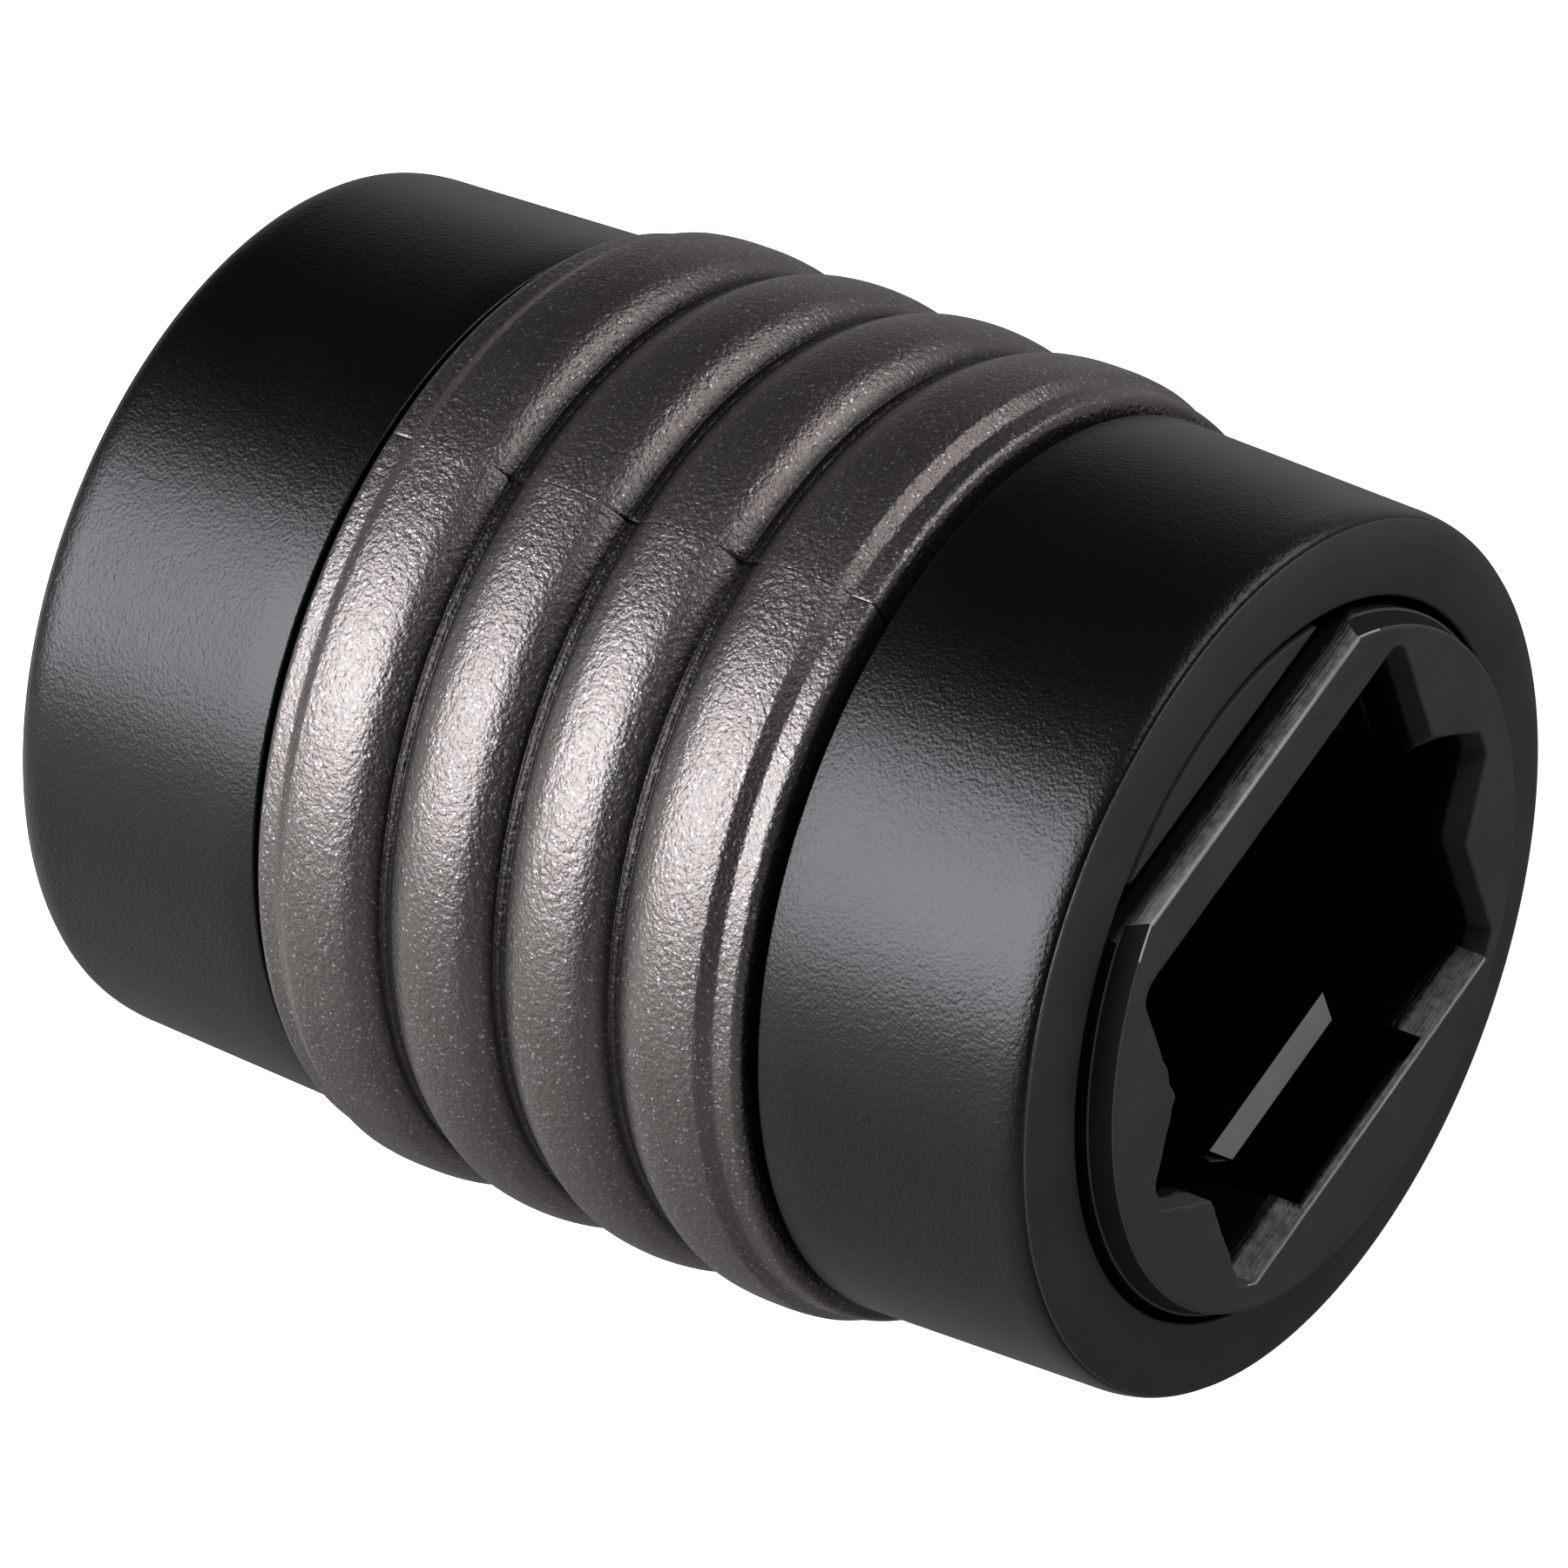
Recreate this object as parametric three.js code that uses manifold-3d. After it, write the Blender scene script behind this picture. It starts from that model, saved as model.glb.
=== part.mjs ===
// Round coupler for two square-plug optical audio leads.
//
// The coupler lies along Y. Its front socket faces -Y, its rear socket faces +Y, and the flat of
// each D-shaped socket nose faces +Z. The origin is the middle of the coupler, on its axis.
// Lengths are in millimetres. Each end is modelled once, as the front end, and the rear end is the
// same geometry turned half a turn about Z, so "left" and "right" are as seen by someone who looks
// into that socket with the flat uppermost.

import * as THREE from 'three';
import { mergeVertices } from 'three/addons/utils/BufferGeometryUtils.js';
import Module from 'manifold-3d';

const wasm = await Module();
wasm.setup();

// ---------------------------------------------------------------------------
// Driving dimensions
// ---------------------------------------------------------------------------

const ROUND_STEPS = 72; // facets round a full turn outside
const BORE_STEPS = 48; // facets round the pieces inside
const ARC_STEPS = 18; // half the facets on the round side of a D-shaped section
const SLIP = 0.1; // clearance of pieces that slide together

// End sleeves. "reach" is a distance from the middle of the coupler along its axis.
const SLEEVE = {
  faceReach: 10.9,
  footReach: 5.6,
  faceRadius: 8.1,
  footRadius: 8.25,
  mouthBore: 6.6,
  footBore: 7.6,
  shoulderReach: 8.45,
  landRadius: 7.5,
  rimRadius: 7.95,
  rimDrop: 0.1,
  rimRound: 0.6,
  footRound: 0.12,
};

// Ringed grip, made as two half shells.
const GRIP = {
  halfLength: 5.2,
  bore: 7.6,
  crestRadius: 8.79,
  valleyRadius: 8.4,
  rimRadius: 8.4,
  ringPitch: 2.46,
  landStart: 3.5,
  landEnd: 4.2,
  rimBead: 0.16,
  swell: 1.75,
  partingTurn: THREE.MathUtils.degToRad(8.2),
  partingGap: 0.08,
};

// Tube under the grip that carries the sleeves and both sockets.
const CORE = { halfLength: 8.25, outerRadius: 7.5, bore: 6.4, endChamfer: 0.2 };

// Socket nose and the plug guide behind it.
const NOSE = {
  reach: 11.44,
  plateThickness: 0.83,
  radius: 6.27,
  flatHeight: 5.27,
  edgeBreak: 0.1,
};
const MOUTH = {
  halfWidth: 4.25,
  cornerRound: 0.4,
  cornerChamfer: 0.34,
  notchHalfBase: 1.5,
  notchHalfTip: 0.3,
  notchTip: 5.42,
};
const GUIDE = {
  innerReach: 0.75,
  radius: 6.22,
  flatHeight: 5.2,
  halfWidth: 4.45,
  cornerRound: 1.2,
  channelHalfBase: 1.75,
  channelHalfTip: 0.5,
  channelTip: 5.6,
  springGrooveHalfWidth: 2.05,
  springGrooveDepth: 5.05,
  windowHalfHeight: 1.15,
  windowStart: 2.3,
  windowEnd: 9.4,
};

// Relief behind the lip of the mouth, for the tip of the floor spring.
const LIP_RELIEF = { halfWidth: 2.02, skin: 0.13, depth: 5.05 };

// Filler between the flat of the nose and the sleeve's bore.
const KEY = { chordHeight: 5.67, radius: 6.43, innerReach: 8.6, faceReach: 10.88 };

// Sprung latch arm beside the mouth, drawn at +X.
const LATCH = {
  halfHeight: 0.9,
  rootStart: 2.6,
  rootEnd: 3.7,
  rootInner: 5.05,
  rootOuter: 5.85,
  rootFillet: 0.2,
  armInner: 5.3,
  armOuter: 5.72,
  noseStart: 6.7,
  noseTopStart: 7.35,
  noseTopEnd: 7.75,
  noseEnd: 8.5,
  noseReach: 4.75,
  tipEnd: 9.1,
};

// Leaf spring on the floor of the socket.
const LEAF = {
  halfWidth: 1.88,
  thickness: 0.25,
  rootStart: 2.5,
  rootEnd: 3.4,
  rootTop: -4.72,
  crownTop: -3.84,
  crownStart: 8.3,
  crownEnd: 9.36,
  rampEnd: 9.62,
  tipTop: -4.45,
  tipEnd: 11.05,
};

// Partition and the bush in which the two ferrules meet.
const WALL = { halfThickness: 0.6, radius: 6.3 };
const BUSH = { halfLength: 3.6, radius: 1.85, bore: 1.25, leadIn: 0.35 };

// ---------------------------------------------------------------------------
// Finishes
// ---------------------------------------------------------------------------

function finish(color, roughness, metalness) {
  return new THREE.MeshStandardMaterial({ color, roughness, metalness });
}

const FINISH = {
  sleeve: finish(0x1a1a1c, 0.42, 0.0),
  grip: finish(0x8d8481, 0.36, 0.85),
  core: finish(0x0d0d0e, 0.6, 0.0),
  nose: finish(0x2c2c2f, 0.55, 0.0),
  guide: finish(0x121214, 0.6, 0.0),
  spring: finish(0xb8b9bc, 0.3, 1.0),
  latch: finish(0x1e1e20, 0.5, 0.0),
  bush: finish(0x222225, 0.45, 0.0),
};

// ---------------------------------------------------------------------------
// Geometry helpers
// ---------------------------------------------------------------------------

// Position-only copy of a geometry with shared corners joined and faces pointing outwards.
function closed(geometry) {
  const bare = new THREE.BufferGeometry();
  bare.setAttribute('position', geometry.getAttribute('position'));
  if (geometry.index) bare.setIndex(geometry.index);
  const merged = mergeVertices(bare, 1e-4);
  const at = merged.getAttribute('position');
  const kept = [];
  let volume = 0;
  const a = new THREE.Vector3();
  const b = new THREE.Vector3();
  const c = new THREE.Vector3();
  for (let i = 0; i < merged.index.count; i += 3) {
    const [p, q, r] = [0, 1, 2].map((k) => merged.index.getX(i + k));
    if (p === q || q === r || r === p) continue;
    kept.push(p, q, r);
    a.fromBufferAttribute(at, p);
    b.fromBufferAttribute(at, q);
    c.fromBufferAttribute(at, r);
    volume += a.dot(b.cross(c));
  }
  if (volume < 0) kept.reverse();
  merged.setIndex(kept);
  return merged;
}

function toSolid(geometry) {
  const mesh = closed(geometry);
  return new wasm.Manifold(new wasm.Mesh({
    numProp: 3,
    vertProperties: new Float32Array(mesh.getAttribute('position').array),
    triVerts: new Uint32Array(mesh.index.array),
  }));
}

function fromSolid(solid) {
  const mesh = solid.getMesh();
  const geometry = new THREE.BufferGeometry();
  geometry.setAttribute('position', new THREE.BufferAttribute(mesh.vertProperties, 3));
  geometry.setIndex(new THREE.BufferAttribute(mesh.triVerts, 1));
  return closed(geometry);
}

function cut(geometry, ...tools) {
  let solid = toSolid(geometry);
  for (const tool of tools) solid = solid.subtract(toSolid(tool));
  return fromSolid(solid);
}

// Box from its low and high corners.
function block(low, high) {
  const size = high.map((value, k) => value - low[k]);
  const middle = high.map((value, k) => (value + low[k]) / 2);
  return new THREE.BoxGeometry(...size).translate(...middle);
}

// Ring turned about Y from a closed outline of [radius, reach] points; reach runs towards -Y.
function turned(outline, steps = ROUND_STEPS) {
  const points = outline.map(([radius, reach]) => new THREE.Vector2(radius, -reach));
  points.push(points[0].clone());
  return closed(new THREE.LatheGeometry(points, steps));
}

// Prism of a section drawn in X and Z, from one reach to another along the axis.
function prism(section, fromReach, toReach, bevel = 0) {
  const geometry = new THREE.ExtrudeGeometry(section, {
    depth: toReach - fromReach - 2 * bevel,
    curveSegments: ARC_STEPS,
    bevelEnabled: bevel > 0,
    bevelThickness: bevel,
    bevelSize: bevel,
    bevelOffset: -bevel,
    bevelSegments: 1,
  });
  geometry.rotateX(Math.PI / 2);
  geometry.translate(0, -fromReach - bevel, 0);
  return closed(geometry);
}

// Points on a part of an ellipse about [cx, cy], both ends included.
function ellipse(cx, cy, rx, ry, from, to, steps) {
  const points = [];
  for (let i = 0; i <= steps; i += 1) {
    const angle = from + ((to - from) * i) / steps;
    points.push([cx + rx * Math.cos(angle), cy + ry * Math.sin(angle)]);
  }
  return points;
}

// Quarter circle about [cx, cy] that starts at an angle and runs anticlockwise.
function corner(cx, cy, radius, from, steps = 3) {
  return ellipse(cx, cy, radius, radius, from, from + Math.PI / 2, steps);
}

// Adds the points to a shape or path and closes it.
function follow(path, points) {
  points.forEach(([x, y], i) => (i ? path.lineTo(x, y) : path.moveTo(x, y)));
  path.closePath();
  return path;
}

// Circle with one side cut flat at +Z, with a hole if one is given.
function dSection(radius, flatHeight, hole) {
  const start = Math.asin(flatHeight / radius);
  const section = new THREE.Shape();
  section.absarc(0, 0, radius, Math.PI - start, 2 * Math.PI + start, false);
  section.closePath();
  if (hole) section.holes.push(hole);
  return section;
}

// ---------------------------------------------------------------------------
// Sleeves, grip and core tube
// ---------------------------------------------------------------------------

function endSleeve() {
  const s = SLEEVE;
  const rimTop = s.faceReach - s.rimDrop;
  const rimRound = ellipse(
    s.rimRadius,
    rimTop - s.rimRound,
    s.faceRadius - s.rimRadius,
    s.rimRound,
    Math.PI / 2,
    0,
    4,
  );
  return turned([
    [s.mouthBore, s.faceReach],
    [s.landRadius, s.faceReach],
    ...rimRound,
    [s.footRadius, s.footReach + s.footRound],
    [s.footRadius - s.footRound, s.footReach],
    [s.footBore, s.footReach],
    [s.footBore, s.shoulderReach],
    [s.mouthBore, s.shoulderReach],
  ]);
}

// Outline of one ring between two valleys, as a rounded swell.
function ringRise(offset, halfWidth) {
  const t = Math.min(1, Math.abs(offset) / halfWidth);
  return GRIP.crestRadius - (GRIP.crestRadius - GRIP.valleyRadius) * t ** GRIP.swell;
}

// Outer radius of the grip at a distance from its middle.
function gripRadius(distance) {
  const g = GRIP;
  const x = Math.abs(distance);
  if (x <= g.ringPitch) return ringRise(x - g.ringPitch / 2, g.ringPitch / 2);
  if (x < g.landStart) return ringRise(g.landStart - x, g.landStart - g.ringPitch);
  if (x <= g.landEnd) return g.crestRadius;
  const t = (x - g.landEnd) / (g.halfLength - g.rimBead - g.landEnd);
  return g.crestRadius - (g.crestRadius - g.rimRadius) * Math.min(1, t) ** g.swell;
}

// Distances from the middle at which the outline of half the grip has a point.
function gripStations() {
  const g = GRIP;
  const shoulder = g.halfLength - g.rimBead - g.landEnd;
  const stations = [];
  for (let i = 0; i <= 6; i += 1) stations.push((g.ringPitch * i) / 6);
  for (let i = 1; i <= 3; i += 1) {
    stations.push(g.ringPitch + ((g.landStart - g.ringPitch) * i) / 3);
  }
  for (let i = 0; i <= 3; i += 1) stations.push(g.landEnd + (shoulder * i) / 3);
  return stations;
}

function gripHalf(side) {
  const g = GRIP;
  const upper = gripStations().map((x) => [gripRadius(x), x]);
  upper.push([g.rimRadius - g.rimBead, g.halfLength]);
  const lower = upper.slice(1).map(([radius, x]) => [radius, -x]);
  const ring = turned([
    ...lower.reverse(),
    ...upper,
    [g.bore, g.halfLength],
    [g.bore, -g.halfLength],
  ]);
  const reach = 2 * g.crestRadius;
  const keepOut = block([-reach, -reach, -reach], [g.partingGap / 2, reach, reach]);
  if (side < 0) keepOut.rotateZ(Math.PI);
  keepOut.rotateY(-g.partingTurn);
  return cut(ring, keepOut);
}

function coreTube() {
  const c = CORE;
  return turned([
    [c.bore, c.halfLength],
    [c.outerRadius - c.endChamfer, c.halfLength],
    [c.outerRadius, c.halfLength - c.endChamfer],
    [c.outerRadius, -c.halfLength + c.endChamfer],
    [c.outerRadius - c.endChamfer, -c.halfLength],
    [c.bore, -c.halfLength],
  ], BORE_STEPS);
}

// ---------------------------------------------------------------------------
// Sockets
// ---------------------------------------------------------------------------

// Square mouth with a notch in the middle of each side wall, drawn in X and Z.
function mouthHole() {
  const m = MOUTH;
  const w = m.halfWidth;
  const c = w - m.cornerRound;
  const notch = [
    [w, -m.notchHalfBase],
    [m.notchTip, -m.notchHalfTip],
    [m.notchTip, m.notchHalfTip],
    [w, m.notchHalfBase],
  ];
  return follow(new THREE.Path(), [
    [w - m.cornerChamfer, -w],
    [w, -w + m.cornerChamfer],
    ...notch,
    ...corner(c, c, m.cornerRound, 0),
    ...corner(-c, c, m.cornerRound, Math.PI / 2),
    ...notch.map(([x, z]) => [-x, -z]),
    [-w, -w + m.cornerChamfer],
    [-w + m.cornerChamfer, -w],
  ]);
}

function socketBezel() {
  const backReach = NOSE.reach - NOSE.plateThickness;
  const plate = prism(
    dSection(NOSE.radius, NOSE.flatHeight, mouthHole()),
    backReach,
    NOSE.reach,
    NOSE.edgeBreak,
  );
  const relief = block(
    [-LIP_RELIEF.halfWidth, -NOSE.reach + LIP_RELIEF.skin, -LIP_RELIEF.depth],
    [LIP_RELIEF.halfWidth, -backReach + 1, 0],
  );
  return cut(plate, relief);
}

// Plug space of the guide: rounded square, side channels and a groove for the floor spring.
function guideHole() {
  const g = GUIDE;
  const w = g.halfWidth;
  const c = w - g.cornerRound;
  const channel = [
    [w, -g.channelHalfBase],
    [g.channelTip, -g.channelHalfTip],
    [g.channelTip, g.channelHalfTip],
    [w, g.channelHalfBase],
  ];
  return follow(new THREE.Path(), [
    ...corner(c, -c, g.cornerRound, -Math.PI / 2),
    ...channel,
    ...corner(c, c, g.cornerRound, 0),
    ...corner(-c, c, g.cornerRound, Math.PI / 2),
    ...channel.map(([x, z]) => [-x, -z]),
    ...corner(-c, -c, g.cornerRound, Math.PI),
    [-g.springGrooveHalfWidth, -w],
    [-g.springGrooveHalfWidth, -g.springGrooveDepth],
    [g.springGrooveHalfWidth, -g.springGrooveDepth],
    [g.springGrooveHalfWidth, -w],
  ]);
}

function socketBody() {
  const g = GUIDE;
  const mouthReach = NOSE.reach - NOSE.plateThickness - SLIP / 2;
  const shell = prism(dSection(g.radius, g.flatHeight, guideHole()), g.innerReach, mouthReach);
  const windows = block(
    [-2 * g.radius, -g.windowEnd, -g.windowHalfHeight],
    [2 * g.radius, -g.windowStart, g.windowHalfHeight],
  );
  return cut(shell, windows);
}

function keySegment() {
  const start = Math.asin(KEY.chordHeight / KEY.radius);
  const section = new THREE.Shape();
  section.absarc(0, 0, KEY.radius, start, Math.PI - start, false);
  section.closePath();
  return prism(section, KEY.innerReach, KEY.faceReach);
}

// Latch arm for the +X side; its nose points at the plug.
function latchArm() {
  const l = LATCH;
  const section = follow(new THREE.Shape(), [
    [l.rootInner, -l.rootStart],
    [l.rootOuter, -l.rootStart],
    [l.rootOuter, -l.rootEnd],
    [l.armOuter, -l.rootEnd - l.rootFillet],
    [l.armOuter, -l.tipEnd],
    [l.armInner, -l.tipEnd],
    [l.armInner, -l.noseEnd],
    [l.noseReach, -l.noseTopEnd],
    [l.noseReach, -l.noseTopStart],
    [l.armInner, -l.noseStart],
    [l.armInner, -l.rootEnd - l.rootFillet],
    [l.rootInner, -l.rootEnd],
  ]);
  const arm = new THREE.ExtrudeGeometry(section, { depth: 2 * l.halfHeight, bevelEnabled: false });
  return closed(arm.translate(0, 0, -l.halfHeight));
}

// The same line a sheet's thickness lower, with its corners kept on the bends' bisectors.
function below(line, thickness) {
  const slopes = line.slice(1).map(([x, y], i) => Math.atan2(y - line[i][1], x - line[i][0]));
  return line.map(([x, y], i) => {
    const before = slopes[Math.max(0, i - 1)];
    const after = slopes[Math.min(slopes.length - 1, i)];
    const middle = (before + after) / 2;
    const reach = thickness / Math.cos((after - before) / 2);
    return [x + reach * Math.sin(middle), y - reach * Math.cos(middle)];
  });
}

// Leaf spring in reach and Z: flat root, long rise, crown, short ramp, tip under the lip.
function floorSpring() {
  const l = LEAF;
  const top = [
    [l.rootStart, l.rootTop],
    [l.rootEnd, l.rootTop],
    [l.crownStart, l.crownTop],
    [l.crownEnd, l.crownTop],
    [l.rampEnd, l.tipTop],
    [l.tipEnd, l.tipTop],
  ];
  const section = follow(new THREE.Shape(), [...top, ...below(top, l.thickness).reverse()]);
  const leaf = new THREE.ExtrudeGeometry(section, { depth: 2 * l.halfWidth, bevelEnabled: false });
  leaf.translate(0, 0, -l.halfWidth);
  // The section's first axis becomes -Y, its second Z, and the depth -X.
  const toPlace = new THREE.Matrix4().makeBasis(
    new THREE.Vector3(0, -1, 0),
    new THREE.Vector3(0, 0, 1),
    new THREE.Vector3(-1, 0, 0),
  );
  return closed(leaf.applyMatrix4(toPlace));
}

// ---------------------------------------------------------------------------
// Middle of the coupler
// ---------------------------------------------------------------------------

function centreWall() {
  const hole = BUSH.radius + SLIP;
  return turned([
    [hole, WALL.halfThickness],
    [WALL.radius, WALL.halfThickness],
    [WALL.radius, -WALL.halfThickness],
    [hole, -WALL.halfThickness],
  ], BORE_STEPS);
}

function ferruleSleeve() {
  const b = BUSH;
  return turned([
    [b.bore + b.leadIn, b.halfLength],
    [b.radius, b.halfLength],
    [b.radius, -b.halfLength],
    [b.bore + b.leadIn, -b.halfLength],
    [b.bore, -b.halfLength + b.leadIn],
    [b.bore, b.halfLength - b.leadIn],
  ], BORE_STEPS);
}

// ---------------------------------------------------------------------------
// Assembly
// ---------------------------------------------------------------------------

function piece(name, geometry, material) {
  const mesh = new THREE.Mesh(geometry, material);
  mesh.name = name;
  return mesh;
}

const coupler = new THREE.Group();

for (const [end, turn] of [['front', 0], ['rear', Math.PI]]) {
  const group = new THREE.Group();
  group.rotation.z = turn;
  group.add(piece(`${end}_end_sleeve`, endSleeve(), FINISH.sleeve));
  group.add(piece(`${end}_socket_bezel`, socketBezel(), FINISH.nose));
  group.add(piece(`${end}_socket_body`, socketBody(), FINISH.guide));
  group.add(piece(`${end}_key_segment`, keySegment(), FINISH.nose));
  group.add(piece(`${end}_floor_spring`, floorSpring(), FINISH.spring));
  group.add(piece(`${end}_latch_right`, latchArm(), FINISH.latch));
  group.add(piece(`${end}_latch_left`, closed(latchArm().scale(-1, 1, 1)), FINISH.latch));
  coupler.add(group);
}

coupler.add(piece('grip_shell_right', gripHalf(1), FINISH.grip));
coupler.add(piece('grip_shell_left', gripHalf(-1), FINISH.grip));
coupler.add(piece('core_tube', coreTube(), FINISH.core));
coupler.add(piece('centre_wall', centreWall(), FINISH.core));
coupler.add(piece('ferrule_sleeve', ferruleSleeve(), FINISH.bush));

export default coupler;
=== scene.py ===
# %% [markdown]
# # A round coupler for two square optical audio leads
#
# The real object is a short, round adapter. Two black end sleeves sit on a core tube, a grip with
# four soft rings is painted grey-brown between them, and a D-shaped socket nose stands out of each
# end. Behind each mouth are a plug guide, two latch arms and a leaf spring, and in the middle a
# partition holds the small bush in which the two light guides meet.
#
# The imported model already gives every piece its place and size. This lesson rebuilds each piece
# with finer edges, gives it a finish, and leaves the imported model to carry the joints.

import math

import bmesh
import bpy
from mathutils import Matrix, Vector, noise
from mathutils.geometry import tessellate_polygon


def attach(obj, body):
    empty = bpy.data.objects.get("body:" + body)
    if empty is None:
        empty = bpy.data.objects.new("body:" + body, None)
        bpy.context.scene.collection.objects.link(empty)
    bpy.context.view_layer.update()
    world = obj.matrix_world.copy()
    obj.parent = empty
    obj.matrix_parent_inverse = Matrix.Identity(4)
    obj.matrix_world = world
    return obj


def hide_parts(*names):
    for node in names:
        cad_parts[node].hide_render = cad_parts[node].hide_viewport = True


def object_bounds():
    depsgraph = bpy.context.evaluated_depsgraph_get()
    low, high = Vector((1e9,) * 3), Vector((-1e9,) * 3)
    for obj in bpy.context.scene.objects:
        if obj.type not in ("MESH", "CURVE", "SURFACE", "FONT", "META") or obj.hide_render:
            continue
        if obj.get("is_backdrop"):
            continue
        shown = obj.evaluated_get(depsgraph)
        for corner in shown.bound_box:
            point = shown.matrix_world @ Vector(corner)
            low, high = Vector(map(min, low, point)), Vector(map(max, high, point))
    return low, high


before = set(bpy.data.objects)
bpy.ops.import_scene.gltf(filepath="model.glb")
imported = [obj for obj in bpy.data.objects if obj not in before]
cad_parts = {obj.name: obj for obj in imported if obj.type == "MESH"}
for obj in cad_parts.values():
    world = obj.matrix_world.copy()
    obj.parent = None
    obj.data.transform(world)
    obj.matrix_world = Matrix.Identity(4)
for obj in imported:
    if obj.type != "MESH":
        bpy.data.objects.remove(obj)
cad_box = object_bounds()
MM = 0.001
print("size in mm:", [round((hi - lo) / MM, 2) for lo, hi in zip(*cad_box)])

# %% [markdown]
# ## Where the camera stands
#
# A long lens from about ten body lengths away keeps the two ends nearly the same size, which
# shows a small object's true proportions. The camera looks down at 48 degrees over the left
# shoulder of the front socket and is rolled by 20 degrees, so its three directions are written
# out as a rotation matrix. A tracking constraint would be shorter, but it can't hold the roll.

# %% Camera
CAMERA_PLACE = Vector((-0.10168, -0.11579, 0.17127))
CAMERA_RIGHT = Vector((0.53627, -0.81203, -0.23028))
CAMERA_UP = Vector((0.71972, 0.29740, 0.62735))
CAMERA_BACK = Vector((-0.44094, -0.50216, 0.74391))

camera_data = bpy.data.cameras.new("product_camera")
camera_data.lens = 298.67
camera_data.sensor_width = 36.0
camera_data.clip_start = 0.01
camera_data.clip_end = 10.0
camera = bpy.data.objects.new("product_camera", camera_data)
bpy.context.scene.collection.objects.link(camera)
turn = Matrix((CAMERA_RIGHT, CAMERA_UP, CAMERA_BACK)).transposed().to_4x4()
camera.matrix_world = Matrix.Translation(CAMERA_PLACE) @ turn
bpy.context.scene.camera = camera
print("camera is", round(CAMERA_PLACE.length * 1000), "mm from the middle of the coupler")

# %% [markdown]
# ## A white table and soft light
#
# Small black products are usually shown on a white sweep under one large softbox. The long
# bright band on the sleeves and on every ring is that softbox seen in the surface, so its
# direction and width set the look more than the colours do. A small card close to the right side
# draws the thin streaks in the grooves and lights the socket's face, and a faint one on the left
# fills the lower side.
#
# The table glows by itself, as a sweep lit from below does, so there is no shadow. The sky is
# dim for the coupler and white for the camera. It follows height, and three soft glows stand in
# for the bright things round a real set. An image of a studio would do the same job, but it
# couldn't be changed one piece at a time.

# %% Table, sky and softboxes
KEY_TOWARDS = Vector((-0.602, 0.430, 0.673))
CARD_TOWARDS = Vector((0.62, -0.42, 0.66))
LEFT_TOWARDS = Vector((-0.87, 0.45, 0.12))
COOL_WHITE = (0.965, 1.0, 1.045)


def emission_table(name, colour, glow):
    material = bpy.data.materials.new(name)
    material.use_nodes = True
    nodes = material.node_tree.nodes
    shader = nodes["Principled BSDF"]
    shader.inputs["Roughness"].default_value = 0.9
    shader.inputs["Specular IOR Level"].default_value = 0.1
    shader.inputs["Emission Strength"].default_value = glow
    shader.inputs["Emission Color"].default_value = colour
    shader.inputs["Base Color"].default_value = colour
    return material


def softbox(name, towards, distance, size, radiance, up, colour=(1.0, 1.0, 1.02)):
    """A soft rectangle of light that looks at the coupler; size is its width and height."""
    width, height = size
    lamp = bpy.data.lights.new(name, "AREA")
    lamp.shape = "RECTANGLE"
    lamp.size = width
    lamp.size_y = height
    lamp.energy = radiance * math.pi * width * height
    lamp.color = colour
    holder = bpy.data.objects.new(name, lamp)
    holder.visible_camera = False
    bpy.context.scene.collection.objects.link(holder)
    back = towards.normalized()
    side = up.cross(back).normalized()
    upright = back.cross(side)
    place = Matrix.Translation(back * distance)
    holder.matrix_world = place @ Matrix((side, upright, back)).transposed().to_4x4()
    return holder


bpy.ops.mesh.primitive_circle_add(vertices=128, radius=3.0, fill_type="NGON")
table = bpy.context.object
table.name = "white_table"
table.location = (0, 0, cad_box[0].z - 0.00002)
table.data.materials.append(emission_table("table_white", (1, 1, 1, 1), 0.97))
table.visible_glossy = False
table.visible_diffuse = False
table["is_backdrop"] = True

softbox("key_softbox", KEY_TOWARDS, 0.5, (0.435, 0.39), 6.9, Vector((0, 1, 0)), COOL_WHITE)
softbox("right_card", CARD_TOWARDS, 0.07, (0.090, 0.028), 2.3, Vector((0, 0.84, 0.54)))
softbox("left_card", LEFT_TOWARDS, 0.5, (0.30, 0.36), 0.60, Vector((0, 1, 0)))

world = bpy.data.worlds.new("studio_sky")
world.use_nodes = True
bpy.context.scene.world = world
nodes, links = world.node_tree.nodes, world.node_tree.links
nodes.clear()
out = nodes.new("ShaderNodeOutputWorld")
sky = nodes.new("ShaderNodeBackground")
white = nodes.new("ShaderNodeBackground")
white.inputs["Color"].default_value = (1, 1, 1, 1)
white.inputs["Strength"].default_value = 1.05
mix = nodes.new("ShaderNodeMixShader")
seen = nodes.new("ShaderNodeLightPath")
where = nodes.new("ShaderNodeTexCoord")
split = nodes.new("ShaderNodeSeparateXYZ")
ramp = nodes.new("ShaderNodeValToRGB")
height = nodes.new("ShaderNodeMapRange")
height.inputs["From Min"].default_value = -1.0
height.inputs["From Max"].default_value = 1.0
links.new(where.outputs["Generated"], split.inputs[0])
links.new(split.outputs["Z"], height.inputs["Value"])
links.new(height.outputs["Result"], ramp.inputs["Fac"])
total = ramp.outputs["Color"]
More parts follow.
